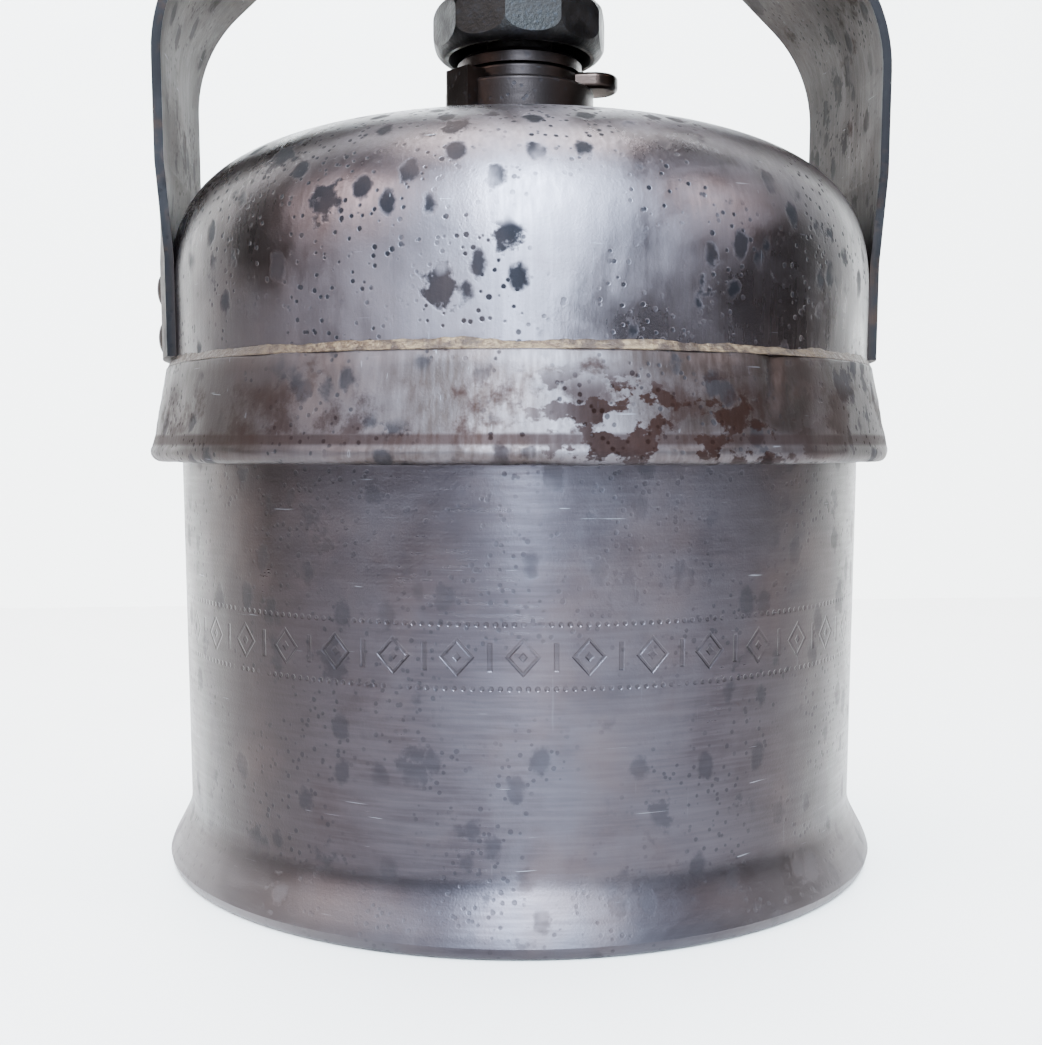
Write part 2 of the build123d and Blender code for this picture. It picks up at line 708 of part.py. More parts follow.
with BuildPart() as filler_hinge:
    for side in (-1, 1):
        with BuildSketch(Plane.YZ.offset(FILLER[0] + side * 4.2)):
            with BuildLine():
                Polyline(
                    (FILLER[1] + FILLER_R - 2.2, 97.5),
                    (HINGE_Y - 0.5, 97.5),
                    (HINGE_Y + 2.0, HINGE_Z),
                )
                ThreePointArc(
                    (HINGE_Y + 2.0, HINGE_Z), (HINGE_Y, HINGE_Z + 2.0), (HINGE_Y - 2.0, HINGE_Z)
                )
                Polyline(
                    (HINGE_Y - 2.0, HINGE_Z),
                    (HINGE_Y - 2.0, FILLER_TOP - 1.5),
                    (FILLER[1] + FILLER_R - 2.2, FILLER_TOP - 1.5),
                    (FILLER[1] + FILLER_R - 2.2, 97.5),
                )
            make_face()
            with Locations((HINGE_Y, HINGE_Z)):
                Circle(PIN_R, mode=Mode.SUBTRACT)
        extrude(amount=0.6, both=True)
    with BuildSketch(Plane.XY.offset(90)):
        with Locations(FILLER):
            Circle(FILLER_R)
    extrude(amount=30, mode=Mode.SUBTRACT)
filler_hinge.part.label = "filler_hinge"
export_step(filler_hinge.part, "parts/filler_hinge.step")

with BuildPart() as filler_pin:
    with BuildSketch(Plane.YZ.offset(FILLER[0])):
        with Locations((HINGE_Y, HINGE_Z)):
            Circle(PIN_R)
    extrude(amount=5.6, both=True)
filler_pin.part.label = "filler_pin"
export_step(filler_pin.part, "parts/filler_pin.step")

with BuildPart() as filler_lid:
    with BuildSketch(Plane.XY.offset(FILLER_TOP + 0.9)):
        with Locations(FILLER):
            Circle(FILLER_R + 1.0)
    extrude(amount=1.4)
    fillet(filler_lid.edges().group_by(Axis.Z)[-1], radius=0.6)
    with BuildSketch(Plane.XY.offset(FILLER_TOP + 0.9)):
        with Locations((FILLER[0], FILLER[1] + 6.5)):
            Rectangle(6.6, 7.0)
        with Locations((FILLER[0], FILLER[1] - FILLER_R - 1.6)):
            SlotOverall(6.0, 4.0, rotation=90)
    extrude(amount=1.2)
    with BuildSketch(Plane.YZ.offset(FILLER[0])):
        with Locations((HINGE_Y, HINGE_Z)):
            Circle(1.9)
    extrude(amount=3.3, both=True)
    with BuildSketch(Plane.YZ.offset(FILLER[0])):
        with Locations((HINGE_Y, HINGE_Z)):
            Circle(PIN_R + RUN)
    extrude(amount=10, both=True, mode=Mode.SUBTRACT)
filler_lid.part.label = "filler_lid"
export_step(filler_lid.part, "parts/filler_lid.step")

with BuildPart() as filler_seal:
    with BuildSketch(Plane.XY.offset(FILLER_TOP + 0.05)):
        with Locations(FILLER):
            Circle(FILLER_R + 0.2)
    extrude(amount=0.85)
filler_seal.part.label = "filler_seal"
export_step(filler_seal.part, "parts/filler_seal.step")

# ================================================================ carrying hook
COLLAR_Z = bail_top + 0.15
HOOK_BASE = COLLAR_Z + 3.2
HOOK_CENTRE_Z = HOOK_BASE + 30.0
with BuildPart() as carry_hook:
    with BuildLine() as hook_path:
        shank = Line((0, 0, HOOK_BASE), (0, 0, HOOK_BASE + 8))
        swing = Bezier(
            shank @ 1,
            (0, 0, HOOK_BASE + 14),
            (HOOK_R, 0, HOOK_CENTRE_Z - 14),
            (HOOK_R, 0, HOOK_CENTRE_Z),
        )
        crown = ThreePointArc(swing @ 1, (0, 0, HOOK_CENTRE_Z + HOOK_R), (-HOOK_R, 0, HOOK_CENTRE_Z))
        Bezier(
            crown @ 1,
            (-HOOK_R, 0, HOOK_CENTRE_Z - 6),
            (-HOOK_R - 1.5, 0, HOOK_CENTRE_Z - 9),
            (-HOOK_R - 4.5, 0, HOOK_CENTRE_Z - 12),
        )
    with BuildSketch(Plane.XY.offset(HOOK_BASE)):
        Circle(WIRE_R)
    sweep()
    tip = carry_hook.faces().filter_by(GeomType.PLANE).sort_by(Axis.X)[0]
    fillet(tip.edges(), radius=1.6)
    with BuildSketch(Plane.XZ):
        with BuildLine():
            Polyline(
                (0, bail_top - BAIL_T - 1.2),
                (STUD_R, bail_top - BAIL_T - 1.2),
                (STUD_R, COLLAR_Z),
                (5.2, COLLAR_Z),
                (5.6, COLLAR_Z + 0.4),
                (5.6, HOOK_BASE - 1.0),
                (4.4, HOOK_BASE),
                (WIRE_R, HOOK_BASE + 0.6),
                (0, HOOK_BASE + 0.6),
                close=True,
            )
        make_face()
    revolve(axis=Axis.Z)
carry_hook.part.label = "carry_hook"
export_step(carry_hook.part, "parts/carry_hook.step")

with BuildPart() as swivel_rivet:
    with BuildSketch(Plane.XZ):
        with BuildLine():
            Polyline(
                (STUD_R, bail_top - BAIL_T - 0.15),
                (5.2, bail_top - BAIL_T - 0.15),
                (5.2, bail_top - BAIL_T - 1.0),
                (4.0, bail_top - BAIL_T - 2.0),
                (0, bail_top - BAIL_T - 2.3),
                (0, bail_top - BAIL_T - 1.2),
                (STUD_R, bail_top - BAIL_T - 1.2),
                close=True,
            )
        make_face()
    revolve(axis=Axis.Z)
swivel_rivet.part.label = "swivel_rivet"
export_step(swivel_rivet.part, "parts/swivel_rivet.step")
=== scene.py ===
"""Looks of the miner's carbide lamp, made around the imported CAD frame. Units are metres;
the materials work in millimetres."""

import json
import math

import bpy
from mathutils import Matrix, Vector, noise


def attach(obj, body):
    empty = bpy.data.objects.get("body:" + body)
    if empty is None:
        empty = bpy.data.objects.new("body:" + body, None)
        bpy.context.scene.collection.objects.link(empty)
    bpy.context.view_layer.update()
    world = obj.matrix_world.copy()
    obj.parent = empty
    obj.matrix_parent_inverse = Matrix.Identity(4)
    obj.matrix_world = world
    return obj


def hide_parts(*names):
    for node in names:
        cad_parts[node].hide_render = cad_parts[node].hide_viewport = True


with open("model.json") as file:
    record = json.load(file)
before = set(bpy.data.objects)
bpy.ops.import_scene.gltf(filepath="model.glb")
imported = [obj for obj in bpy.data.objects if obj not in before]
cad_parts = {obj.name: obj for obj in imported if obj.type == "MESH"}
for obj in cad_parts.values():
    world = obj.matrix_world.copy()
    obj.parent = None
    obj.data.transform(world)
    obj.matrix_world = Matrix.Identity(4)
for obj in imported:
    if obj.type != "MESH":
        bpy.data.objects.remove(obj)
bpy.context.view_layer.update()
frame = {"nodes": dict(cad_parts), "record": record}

MM = 0.001

# Millimetres in the row frame.
POT_R = 47.5
TANK_R = 48.5
SEAM_Z = 68.3  # top edge of the skirt
BURNER_Z = 77.0
BAIL_EDGE = (15.2, 15.9)  # where the bail's worn edge starts and is full
BEAD_Z = 58.6  # grime line above the skirt's rolled bead
SKIRT_BEAD = (50.4, 57.1)
SKIRT_BEAD_R = 1.3
FOOT_TOP = 10.0
# Height where the foot's scuffing and its painted highlight are full.
FOOT_SCUFF_AND_SHEEN = 4.0

# The engraved band: two rows of dots with lozenges and bars half way between them.
DOT_ROWS = (38.1, 30.8)
DOT_PITCH = 1.05
DOT_R = 0.34
CUT_FULL = 0.2  # distance from a dot's or bar's middle where the cut is at full depth
BAND_Z = 34.4
LOZENGE_PITCH = 7.5
BAND_ENDS = 2.3  # half the angle that the band covers, in radians

# The skirt's dent, as directions round the lamp in radians.
CREASE_AT = 0.53
FOLD_AT = 0.62
DENT_DEPTH = 0.42

# Colours laid over the bare steel.
# The first colour is painted shade for the lamp's left and right sides.
SIDE_SHADE = (0.020, 0.0135, 0.0115)
OXIDE = (0.012, 0.012, 0.015)
RUST = (0.022, 0.011, 0.008)
WARM_TINGE = (0.080, 0.055, 0.050)
BARE_SCRATCH = (0.30, 0.32, 0.38)


# ---------------------------------------------------------------- material kit
class Finish:
    """A procedural material whose patterns lie in the row frame, in millimetres."""

    def __init__(self, name):
        self.material = bpy.data.materials.new(name)
        self.material.use_nodes = True
        self.nodes = self.material.node_tree.nodes
        self.links = self.material.node_tree.links
        self.shader = self.nodes["Principled BSDF"]
        coordinates = self.nodes.new("ShaderNodeTexCoord")
        self.mm = self.scaled(coordinates.outputs["Object"], (1000, 1000, 1000))
        self.x, self.y, self.z = self.split(self.mm)
        self.around = self.math("ARCTAN2", self.x, self.math("MULTIPLY", self.y, -1))

    def put(self, socket, value):
        if isinstance(value, bpy.types.NodeSocket):
            self.links.new(value, socket)
        elif isinstance(value, tuple) and len(value) == 3 and socket.type == "RGBA":
            socket.default_value = (*value, 1)
        else:
            socket.default_value = value

    def scaled(self, vector, scale):
        node = self.nodes.new("ShaderNodeVectorMath")
        node.operation = "MULTIPLY"
        self.put(node.inputs[0], vector)
        self.put(node.inputs[1], scale)
        return node.outputs[0]

    def split(self, vector):
        node = self.nodes.new("ShaderNodeSeparateXYZ")
        self.put(node.inputs[0], vector)
        return node.outputs[0], node.outputs[1], node.outputs[2]

    def math(self, operation, a, b=0.0, clamp=False):
        node = self.nodes.new("ShaderNodeMath")
        node.operation = operation
        node.use_clamp = clamp
        self.put(node.inputs[0], a)
        self.put(node.inputs[1], b)
        return node.outputs[0]

    def noise(self, scale, stretch=(1, 1, 1), detail=4.0, roughness=0.55, distortion=0.0):
        node = self.nodes.new("ShaderNodeTexNoise")
        self.put(node.inputs["Vector"], self.scaled(self.mm, stretch))
        self.put(node.inputs["Scale"], scale)
        self.put(node.inputs["Detail"], detail)
        self.put(node.inputs["Roughness"], roughness)
        self.put(node.inputs["Distortion"], distortion)
        return node.outputs[0]

    def cells(self, scale, stretch=(1, 1, 1), feature="F1"):
        node = self.nodes.new("ShaderNodeTexVoronoi")
        node.feature = feature
        self.put(node.inputs["Vector"], self.scaled(self.mm, stretch))
        self.put(node.inputs["Scale"], scale)
        return node.outputs["Distance"]

    def band(self, value, low, high, top=1.0):
        """0 at low and top at high, smoothly; low may be the larger of the two."""
        node = self.nodes.new("ShaderNodeMapRange")
        node.interpolation_type = "SMOOTHSTEP"
        self.put(node.inputs["Value"], value)
        for key, number in (("From Min", low), ("From Max", high), ("To Min", 0.0), ("To Max", top)):
            self.put(node.inputs[key], number)
        return node.outputs["Result"]

    def mix(self, factor, a, b, blend="MIX"):
        node = self.nodes.new("ShaderNodeMix")
        node.data_type = "RGBA"
        node.blend_type = blend
        self.put(node.inputs[0], factor)
        self.put(node.inputs[6], a)
        self.put(node.inputs[7], b)
        return node.outputs[2]

    def near(self, value, centre, width):
        """1 where value is within width of centre, 0 outside."""
        distance = self.math("ABSOLUTE", self.math("SUBTRACT", value, centre))
        return self.band(distance, width, width * 0.4)

    def bump(self, height, depth, previous=None):
        """Adds a height pattern that is depth millimetres deep."""
        node = self.nodes.new("ShaderNodeBump")
        self.put(node.inputs["Height"], height)
        node.inputs["Distance"].default_value = depth * MM
        node.inputs["Strength"].default_value = 1.0
        if previous is not None:
            self.links.new(previous, node.inputs["Normal"])
        return node.outputs["Normal"]

    def finish(self, colour, roughness, metallic, normal=None):
        self.put(self.shader.inputs["Base Color"], colour)
        self.put(self.shader.inputs["Roughness"], roughness)
        self.put(self.shader.inputs["Metallic"], metallic)
        if normal is not None:
            self.links.new(normal, self.shader.inputs["Normal"])
        return self.material


def aged_steel(name, light, dark, brush, spots=0.5, rust=0.2, shine=(0.26, 0.5), extra=None):
    """Old bare steel: brushed grain, tarnish clouds, dark oxidation spots, pits and some rust, with
    painted shade on its left and right sides.
    """
    f = Finish(name)
    if brush == "upright":
        fine = f.noise(1.6, (1, 1, 0.05), detail=6)
        wide = f.noise(0.3, (1, 1, 0.2), detail=4)
    else:
        fine = f.noise(1.8, (0.06, 0.06, 1), detail=6)
        wide = f.noise(0.25, (0.4, 0.4, 0.8), detail=4)
    clouds = f.noise(0.05, detail=6, roughness=0.6, distortion=0.6)
    colour = f.mix(f.band(clouds, 0.38, 0.62), dark, light)
    colour = f.mix(f.band(wide, 0.45, 0.75, 0.3), colour, tuple(c * 0.6 for c in dark))
    grain = f.band(fine, 0.35, 0.7)
    colour = f.mix(f.math("MULTIPLY", grain, 0.25), colour, tuple(min(1, c * 1.6) for c in light))

    # Painted shade: the lamp's left and right sides are darkened and warmed, mottled by the clouds.
    sides = f.math("ABSOLUTE", f.math("SINE", f.around))
    side_shade = f.math("MULTIPLY", f.band(sides, 0.2, 0.85), f.band(clouds, 0.1, 0.45))
    colour = f.mix(f.math("MULTIPLY", side_shade, 0.85), colour, SIDE_SHADE)

    drift = f.noise(0.09, detail=3)
    ragged = f.math("MULTIPLY", f.math("SUBTRACT", f.noise(0.7, detail=5), 0.5), 0.5)
    big = f.math("ADD", f.cells(0.105, (1, 1, 0.7)), ragged)
    big = f.math("MULTIPLY", f.band(big, 0.22, 0.13), f.band(drift, 0.42, 0.5))
    middle = f.math("ADD", f.cells(0.22, (1, 1, 0.7)), f.math("MULTIPLY", ragged, 0.7))
    middle = f.math("MULTIPLY", f.band(middle, 0.31, 0.19), f.band(drift, 0.38, 0.5))
    small = f.math("ADD", f.cells(0.9), f.math("MULTIPLY", ragged, 0.8))
    small = f.math("MULTIPLY", f.band(small, 0.30, 0.18), f.band(drift, 0.40, 0.56))
    dirt = f.math("MAXIMUM", f.math("MAXIMUM", big, middle), small)
    dirt = f.math("MULTIPLY", dirt, spots, clamp=True)
    colour = f.mix(dirt, colour, OXIDE)

    patch = f.noise(0.10, (1, 1, 1.3), detail=8, roughness=0.68)
    rusty = f.band(patch, 0.68 - 0.16 * rust, 0.80 - 0.16 * rust)
    colour = f.mix(f.math("MULTIPLY", rusty, 0.75), colour, RUST)
    tinge = f.band(f.noise(0.07, detail=5), 0.45, 0.75, 0.3)
    colour = f.mix(tinge, colour, WARM_TINGE)

    scratch_a = f.band(f.noise(0.9, (0.12, 0.12, 2.8), detail=2, distortion=0.5), 0.72, 0.77)
    scratch_b = f.band(f.noise(0.8, (2.2, 2.2, 0.10), detail=2, distortion=0.4), 0.72, 0.77)
    upright_share = 0.6 if brush == "upright" else 0.1
    scratch = f.math("MAXIMUM", scratch_a, f.math("MULTIPLY", scratch_b, upright_share))
    colour = f.mix(f.math("MULTIPLY", scratch, 0.35), colour, BARE_SCRATCH)

    rough = f.math("ADD", f.band(clouds, 0.3, 0.7, shine[1] - shine[0]), shine[0])
    rough = f.math("ADD", rough, f.math("MULTIPLY", f.math("MAXIMUM", dirt, rusty), 0.25))
    rough = f.math("ADD", rough, f.math("MULTIPLY", grain, -0.05), clamp=True)
    metal = f.math("SUBTRACT", 1.0, f.math("MULTIPLY", rusty, 0.1))

    normal = f.bump(fine, 0.010)
    normal = f.bump(f.noise(0.04, detail=3), 0.4, normal)
    normal = f.bump(f.math("SUBTRACT", 1.0, dirt), 0.03, normal)
    normal = f.bump(f.noise(3.5, detail=3), 0.016, normal)
    if extra is not None:
        colour, rough, metal, normal = extra(f, colour, rough, metal, normal)
    return f.finish(colour, rough, metal, normal)


def engraved_band(f, colour, rough, metal, normal):
    """A worn ornament round the pot, dots, lozenges and bars, and the foot below it, with rougher
    scuffing and a painted highlight on its left and right sides.
    """
    arc = f.math("MULTIPLY", f.around, POT_R)

    def row(pitch, offset=0.0):
        part = f.math("FRACT", f.math("ADD", f.math("DIVIDE", arc, pitch), offset))
        return f.math("MULTIPLY", f.math("ABSOLUTE", f.math("SUBTRACT", part, 0.5)), pitch)

    def rise(height):
        return f.math("ABSOLUTE", f.math("SUBTRACT", f.z, height))

    def length(a, b):
        return f.math("SQRT", f.math("ADD", f.math("POWER", a, 2.0), f.math("POWER", b, 2.0)))

    dots = f.band(length(row(DOT_PITCH), rise(DOT_ROWS[0])), DOT_R, CUT_FULL)
    lower = f.band(length(row(DOT_PITCH, 0.5), rise(DOT_ROWS[1])), DOT_R, CUT_FULL)
    dots = f.math("MAXIMUM", dots, lower)
    lozenge = f.math("ADD", row(LOZENGE_PITCH), f.math("MULTIPLY", rise(BAND_Z), 0.9))
    outline = f.near(lozenge, 1.75, 0.32)
    core = f.band(lozenge, 0.6, 0.35)
    bars = f.band(row(LOZENGE_PITCH, 0.5), DOT_R, CUT_FULL)
    bars = f.math("MULTIPLY", bars, f.band(rise(BAND_Z), 1.7, 1.5))
    cut = f.math("MAXIMUM", dots, f.math("MAXIMUM", outline, f.math("MAXIMUM", core, bars)))
    worn = f.band(f.noise(0.25, detail=4), 0.25, 0.6)
    facing = f.band(f.math("ABSOLUTE", f.around), BAND_ENDS, BAND_ENDS - 0.2)
    cut = f.math("MULTIPLY", cut, f.math("MULTIPLY", worn, facing))
    colour = f.mix(f.math("MULTIPLY", cut, 0.4), colour, (0.018, 0.016, 0.018))
    foot = f.band(f.z, FOOT_TOP, FOOT_SCUFF_AND_SHEEN)
    # Painted highlight: a lighter tone on the foot's left and right sides.
    sides = f.math("ABSOLUTE", f.math("SINE", f.around))
    foot_side_sheen = f.math("MULTIPLY", foot, f.band(sides, 0.25, 0.8))
    colour = f.mix(f.math("MULTIPLY", foot_side_sheen, 0.75), colour, (0.13, 0.115, 0.12))
    rough = f.math("ADD", rough, f.math("MULTIPLY", foot, 0.12), clamp=True)
    return colour, rough, metal, f.bump(f.math("SUBTRACT", 1.0, cut), 0.06, normal)


def rim_grime(f, colour, rough, metal, normal):
    """Brown grime along the skirt's rolled rim and rust patches on its near side."""
    line = f.near(f.z, BEAD_Z, 0.9)
    patch = f.band(f.noise(0.16, detail=7, roughness=0.7), 0.46, 0.62)
    patch = f.math("MULTIPLY", patch, f.near(f.z, 61.5, 5.0))
    front = f.math("MULTIPLY", f.near(f.around, 0.30, 0.50), f.near(f.z, 60.5, 7.5))
    flake = f.band(f.noise(0.2, (1, 1, 1.4), detail=7, roughness=0.6), 0.50, 0.54)
    flake = f.math("MULTIPLY", front, flake)
    dirt = f.math("MAXIMUM", f.math("MULTIPLY", line, 0.7), f.math("MULTIPLY", patch, 0.7))
    dirt = f.math("MAXIMUM", dirt, f.math("MULTIPLY", flake, 0.92))
    colour = f.mix(dirt, colour, (0.014, 0.0065, 0.005))
    rough = f.math("ADD", rough, f.math("MULTIPLY", dirt, 0.25), clamp=True)
    return colour, rough, metal, normal


def worn_edges(f, colour, rough, metal, normal):
    """Brown streaks down the bail and a smoother worn line along its edges."""
    streak = f.band(f.noise(0.5, (1, 1, 0.06), detail=6), 0.4, 0.7, 0.6)
    colour = f.mix(streak, colour, (0.016, 0.011, 0.0085))
    edge = f.band(f.math("ABSOLUTE", f.y), *BAIL_EDGE)
    edge = f.math("MULTIPLY", edge, f.band(f.noise(0.4), 0.3, 0.5))
    colour = f.mix(edge, colour, (0.011, 0.0105, 0.0115))
    rough = f.math("SUBTRACT", rough, f.math("MULTIPLY", edge, 0.05), clamp=True)
    return colour, rough, metal, normal


def solder():
    """Rough golden-beige tinning, darker in patches, with painted shade on its left and right sides.
    """
    f = Finish("solder_line")
    lumps = f.noise(1.3, (1, 1, 2), detail=6, roughness=0.65)
    colour = f.mix(f.band(lumps, 0.35, 0.65), (0.055, 0.035, 0.025), (0.16, 0.115, 0.072))
    # Painted shade: the bead's left and right sides are darkened.
    sides = f.band(f.math("ABSOLUTE", f.math("SINE", f.around)), 0.3, 0.85)
    dark = f.band(f.noise(0.4, detail=5), 0.44, 0.6, 0.85)
    dark = f.math("MAXIMUM", dark, f.math("MULTIPLY", sides, 0.85))
    colour = f.mix(dark, colour, (0.030, 0.021, 0.019))
    return f.finish(colour, f.math("ADD", f.band(lumps, 0.2, 0.8, 0.3), 0.35), 0.8, f.bump(lumps, 0.2))


def blackened_iron():
    """The knob's dark brown-black skin, rubbed to bluish metal in patches."""
    f = Finish("blackened_iron")
    cloud = f.noise(0.35, detail=6)
    colour = f.mix(f.band(cloud, 0.35, 0.65), (0.0016, 0.0011, 0.0011), (0.0045, 0.003, 0.0028))
    rubbed = f.band(f.noise(1.8, detail=8, roughness=0.75), 0.50, 0.66, 0.5)
    colour = f.mix(rubbed, colour, (0.007, 0.009, 0.014))
    rough = f.math("ADD", f.band(cloud, 0.3, 0.7, 0.2), 0.36)
    normal = f.bump(f.noise(2.2, detail=6), 0.06)
    return f.finish(colour, rough, 0.7, normal)


def dull_brass():
    f = Finish("dull_brass")
    cloud = f.noise(0.3, detail=6)
    colour = f.mix(f.band(cloud, 0.35, 0.65), (0.30, 0.19, 0.08), (0.62, 0.45, 0.21))
    grime = f.band(f.noise(0.8, detail=6, roughness=0.7), 0.52, 0.68, 0.8)
    colour = f.mix(grime, colour, (0.06, 0.045, 0.03))
    rough = f.math("ADD", f.band(cloud, 0.3, 0.7, 0.2), 0.3)
    return f.finish(colour, rough, 0.95, f.bump(f.noise(2.0, detail=4), 0.03))


def plated_reflector():
    """Dulled nickel plate with a yellowed, sooty middle."""
    f = Finish("plated_reflector")
    cloud = f.noise(0.12, detail=6)
    colour = f.mix(f.band(cloud, 0.35, 0.65), (0.52, 0.50, 0.46), (0.78, 0.77, 0.75))
    lifted = f.math("SUBTRACT", f.z, BURNER_Z)
    reach = f.math("SQRT", f.math("ADD", f.math("POWER", f.x, 2.0), f.math("POWER", lifted, 2.0)))
    soot = f.math("MULTIPLY", f.band(reach, 30.0, 8.0), f.band(f.noise(0.2, detail=5), 0.3, 0.7))
    colour = f.mix(f.math("MULTIPLY", soot, 0.7), colour, (0.14, 0.10, 0.06))
    speck = f.band(f.cells(0.5), 0.2, 0.1, 0.7)
    colour = f.mix(speck, colour, (0.09, 0.07, 0.05))
    sooty = f.math("ADD", f.math("MULTIPLY", soot, 0.35), 0.14)
    rough = f.math("ADD", f.band(cloud, 0.3, 0.7, 0.12), sooty)
    return f.finish(colour, rough, 1.0, f.bump(f.noise(0.08, detail=2), 0.25))


def soft_stuff(name, light, dark, grain):
    """Rubber, felt and fired clay: no metal, fine grain."""
    f = Finish(name)
    cloud = f.noise(grain, detail=6)
    colour = f.mix(f.band(cloud, 0.35, 0.65), dark, light)
    stain = f.band(f.noise(grain * 0.3, detail=4), 0.5, 0.7, 0.5)
    colour = f.mix(stain, colour, tuple(c * 0.5 for c in dark))
    return f.finish(colour, f.math("ADD", f.band(cloud, 0.3, 0.7, 0.2), 0.6), 0.0, f.bump(cloud, 0.08))


POT_STEEL = aged_steel(
    "pot_steel",
    light=(0.050, 0.0465, 0.056),
    dark=(0.035, 0.0305, 0.0365),
    brush="round",
    spots=0.42,
    rust=0.1,
    shine=(0.30, 0.42),
    extra=engraved_band,
)
TANK_STEEL = aged_steel(
    "tank_steel",
    light=(0.125, 0.116, 0.137),
    dark=(0.070, 0.061, 0.069),
    brush="upright",
    spots=1.0,
    rust=0.12,
)
SKIRT_STEEL = aged_steel(
    "skirt_steel",
    light=(0.082, 0.074, 0.082),
    dark=(0.036, 0.028, 0.027),
    brush="upright",
    spots=0.7,
    rust=0.6,
    shine=(0.44, 0.6),
    extra=rim_grime,
)
BAIL_STEEL = aged_steel(
    "bail_steel",
    light=(0.040, 0.034, 0.031),
    dark=(0.016, 0.012, 0.0105),
    brush="upright",
    spots=0.5,
    rust=0.6,
    shine=(0.6, 0.78),
    extra=worn_edges,
)
VALVE_STEEL = aged_steel(
    "valve_steel",
    light=(0.013, 0.0105, 0.0105),
    dark=(0.005, 0.0034, 0.0031),
    brush="round",
    spots=0.5,
    rust=0.4,
)
HOOK_STEEL = aged_steel(
    "hook_steel",
    light=(0.12, 0.11, 0.115),
    dark=(0.05, 0.04, 0.038),
    brush="upright",
    spots=0.5,
    rust=0.5,
)
SOLDER = solder()
IRON = blackened_iron()
BRASS = dull_brass()
REFLECTOR = plated_reflector()
RUBBER = soft_stuff("old_rubber", (0.06, 0.055, 0.05), (0.02, 0.018, 0.017), 0.9)
FELT = soft_stuff("packing_felt", (0.40, 0.35, 0.27), (0.22, 0.19, 0.15), 2.4)
CERAMIC = soft_stuff("burner_ceramic", (0.80, 0.76, 0.68), (0.62, 0.56, 0.47), 0.5)

BY_SLOT = {
    "pot_steel": POT_STEEL,
    "tank_steel": TANK_STEEL,
    "skirt_steel": SKIRT_STEEL,
    "solder": SOLDER,
    "bail_steel": BAIL_STEEL,
    "valve_steel": VALVE_STEEL,
    "dark_iron": IRON,
    "rubber_seal": RUBBER,
    "packing_felt": FELT,
    "brass": BRASS,
    "reflector_plate": REFLECTOR,
    "burner_ceramic": CERAMIC,
    "hook_steel": HOOK_STEEL,
}
for part in frame["record"]["subparts"]:
    node = frame["nodes"][part["node"]]
    node.data.materials.clear()
    node.data.materials.append(BY_SLOT[part["material_slot"]])


# ---------------------------------------------------------------- turned pieces
def lathe(name, outline, steps, wobble, material, body, slot, *nodes):
    """A closed outline of (radius, height) points turned about Z; wobble moves each point."""
    verts, faces = [], []
    count = len(outline)
    for i in range(steps):
        angle = 2 * math.pi * i / steps
        for radius, height in outline:
            dr, dz = wobble(angle, radius, height)
            r = radius + dr
            verts.append((r * math.cos(angle) * MM, r * math.sin(angle) * MM, (height + dz) * MM))
    for i in range(steps):
        near, far = i * count, (i + 1) % steps * count
        for j in range(count):
            k = (j + 1) % count
            faces.append((near + j, far + j, far + k, near + k))
    mesh = bpy.data.meshes.new(name)
    mesh.from_pydata(verts, [], faces)
    mesh.materials.append(material)
    for polygon in mesh.polygons:
        polygon.use_smooth = True
    piece = bpy.data.objects.new(name, mesh)
    bpy.context.scene.collection.objects.link(piece)
    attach(piece, body)
    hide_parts(*nodes)
    return piece


def ripple(angle, height, size, grain):
    """Smooth seeded noise on the lamp's surface, between -size and size."""
    spot = Vector((math.cos(angle) * grain, math.sin(angle) * grain, height * 0.1 * grain))
    return noise.noise(spot) * size


def solder_wobble(angle, radius, height):
    free = max(0.0, min(1.0, (height - SEAM_Z) / 0.5))
    lift = ripple(angle, 0, 0.5, 7) + ripple(angle, 3, 0.16, 40)
    swell = abs(ripple(angle, height, 0.09, 50)) if radius > TANK_R else 0.0
    return swell * 0.5, lift * free


SOLDER_OUTLINE = [
    (48.4, 68.32),
    (49.1, 68.32),
    (49.0, 68.5),
    (48.85, 68.75),
    (48.68, 69.0),
    (48.54, 69.3),
    (48.4, 69.4),
]
lathe(
    "solder_bead",
    SOLDER_OUTLINE,
    1440,
    solder_wobble,
    SOLDER,
    "tank",
    "solder",
    "seam_solder",
)


def skirt_outline():
    """Flared sheet with a rolled bead along its lower edge."""
    points = [(48.5, 68.2), (48.7, 68.3), (49.15, 68.3), (49.3, 68.1)]
    points += [(49.3 + 2.1 * step / 7, 68.1 - 10.1 * step / 7) for step in range(1, 7)]
    for step in range(15):
        turn = math.radians(35 - 250 * step / 14)
        radius = SKIRT_BEAD[0] + SKIRT_BEAD_R * math.cos(turn)
        height = SKIRT_BEAD[1] + SKIRT_BEAD_R * math.sin(turn)
        points.append((radius, height))
    return points + [(50.0, 60.0), (48.6, 66.6)]


def skirt_wobble(angle, radius, height):
    """Hammered-out unevenness, with one creased dent beside the middle."""
    around = math.atan2(math.cos(angle), -math.sin(angle))
    crease = math.exp(-(((around - CREASE_AT - (height - 65) * 0.006) / 0.028) ** 2))
    fold = math.exp(-(((around - FOLD_AT) / 0.045) ** 2)) * 0.6
    deep = (crease + fold) * max(0.0, min(1.0, (height - 60.0) / 4.0))
    return -DENT_DEPTH * deep - abs(ripple(angle, height, 0.35, 5)), ripple(angle, 0, 0.12, 8)


lathe("skirt_sheet", skirt_outline(), 720, skirt_wobble, SKIRT_STEEL, "tank", "skirt_steel", "skirt")


# ---------------------------------------------------------------- floor and wall
def pale(name, colour, grain):
    f = Finish(name)
    cloud = f.noise(0.004, detail=6, distortion=1.2)
    tone = f.mix(f.band(cloud, 0.42, 0.6, grain), colour, tuple(c * 0.93 for c in colour))
    return f.finish(tone, 0.55, 0.0, f.bump(f.noise(1.0), 0.01))


def sheet(name, corners, material):
    mesh = bpy.data.meshes.new(name)
    mesh.from_pydata(corners, [], [(0, 1, 2, 3)])
    mesh.materials.append(material)
    piece = bpy.data.objects.new(name, mesh)
    bpy.context.scene.collection.objects.link(piece)
    return piece


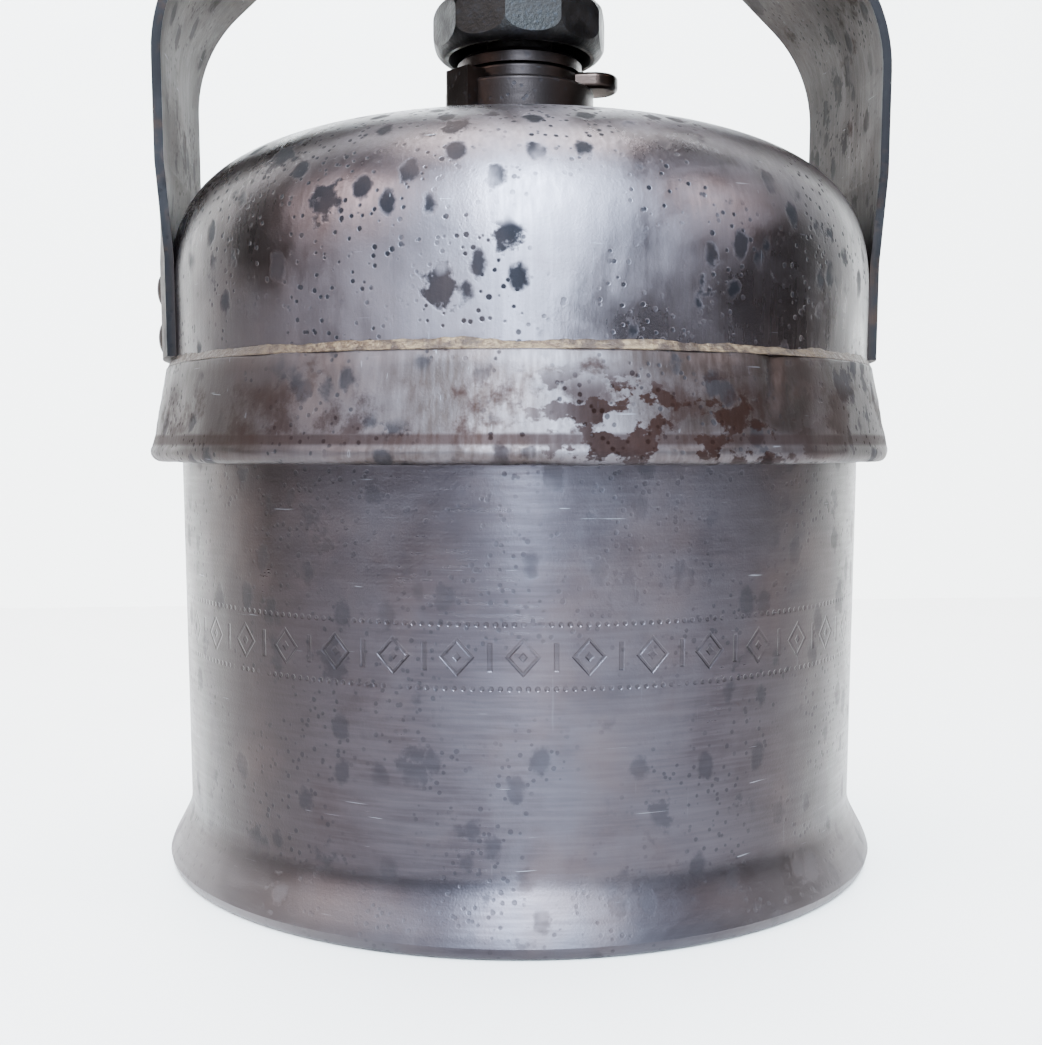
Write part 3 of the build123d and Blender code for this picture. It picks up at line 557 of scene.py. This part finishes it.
def see_through_back(material):
    """Lets the wall be looked through from behind."""
    nodes, links = material.node_tree.nodes, material.node_tree.links
    side = nodes.new("ShaderNodeNewGeometry")
    clear = nodes.new("ShaderNodeBsdfTransparent")
    choose = nodes.new("ShaderNodeMixShader")
    links.new(side.outputs["Backfacing"], choose.inputs[0])
    links.new(nodes["Principled BSDF"].outputs[0], choose.inputs[1])
    links.new(clear.outputs[0], choose.inputs[2])
    links.new(choose.outputs[0], nodes["Material Output"].inputs[0])
    return material


WALL_Y = 0.29
sheet(
    "table_top",
    [(-3, -3, 0), (3, -3, 0), (3, 3, 0), (-3, 3, 0)],
    pale("table_white", (0.77, 0.74, 0.715), 0.5),
)
sheet(
    "back_wall",
    [(-0.8, WALL_Y, 0), (0.8, WALL_Y, 0), (0.8, WALL_Y, 0.9), (-0.8, WALL_Y, 0.9)],
    see_through_back(pale("wall_white", (0.84, 0.785, 0.725), 0.2)),
)


# ---------------------------------------------------------------- light and camera
def soft_light(name, place, target, size, power, colour):
    data = bpy.data.lights.new(name, "AREA")
    data.shape = "RECTANGLE"
    data.size, data.size_y = size
    data.energy = power
    data.color = colour
    light = bpy.data.objects.new(name, data)
    light.location = place
    light.rotation_euler = (Vector(target) - Vector(place)).to_track_quat("-Z", "Y").to_euler()
    bpy.context.scene.collection.objects.link(light)


soft_light("window", (-0.06, -1.0, 0.86), (0, 0, 0.08), (0.13, 0.8), 120.0, (0.70, 0.86, 1.0))
soft_light("window_low", (-0.07, -1.15, 0.26), (0, 0, 0.05), (0.11, 0.42), 12.0, (0.66, 0.84, 1.0))
soft_light("left_bounce", (-0.85, -0.45, 0.75), (0, 0, 0.06), (0.5, 0.5), 13.0, (1.0, 0.86, 0.80))
soft_light("right_bounce", (0.85, -0.45, 0.75), (0, 0, 0.06), (0.3, 0.4), 5.0, (1.0, 0.86, 0.80))
soft_light("overhead", (0.0, 0.0, 1.5), (0, 0.1, 0), (1.0, 0.8), 36.0, (1.0, 0.955, 0.92))

world = bpy.data.worlds.new("room")
world.use_nodes = True
world.node_tree.nodes["Background"].inputs[0].default_value = (0.78, 0.76, 0.74, 1)
world.node_tree.nodes["Background"].inputs[1].default_value = 0.26
bpy.context.scene.world = world

camera_data = bpy.data.cameras.new("camera")
camera_data.sensor_width = 36.0
camera_data.lens = 45.62
camera_data.shift_x = 0.0015
camera_data.shift_y = 0.0742
camera_data.clip_start = 0.01
camera = bpy.data.objects.new("camera", camera_data)
camera.location = (-0.0169, -0.1929, 0.0581)
camera.rotation_euler = (math.radians(83.28), 0, math.radians(-5.0))
bpy.context.scene.collection.objects.link(camera)
bpy.context.scene.camera = camera
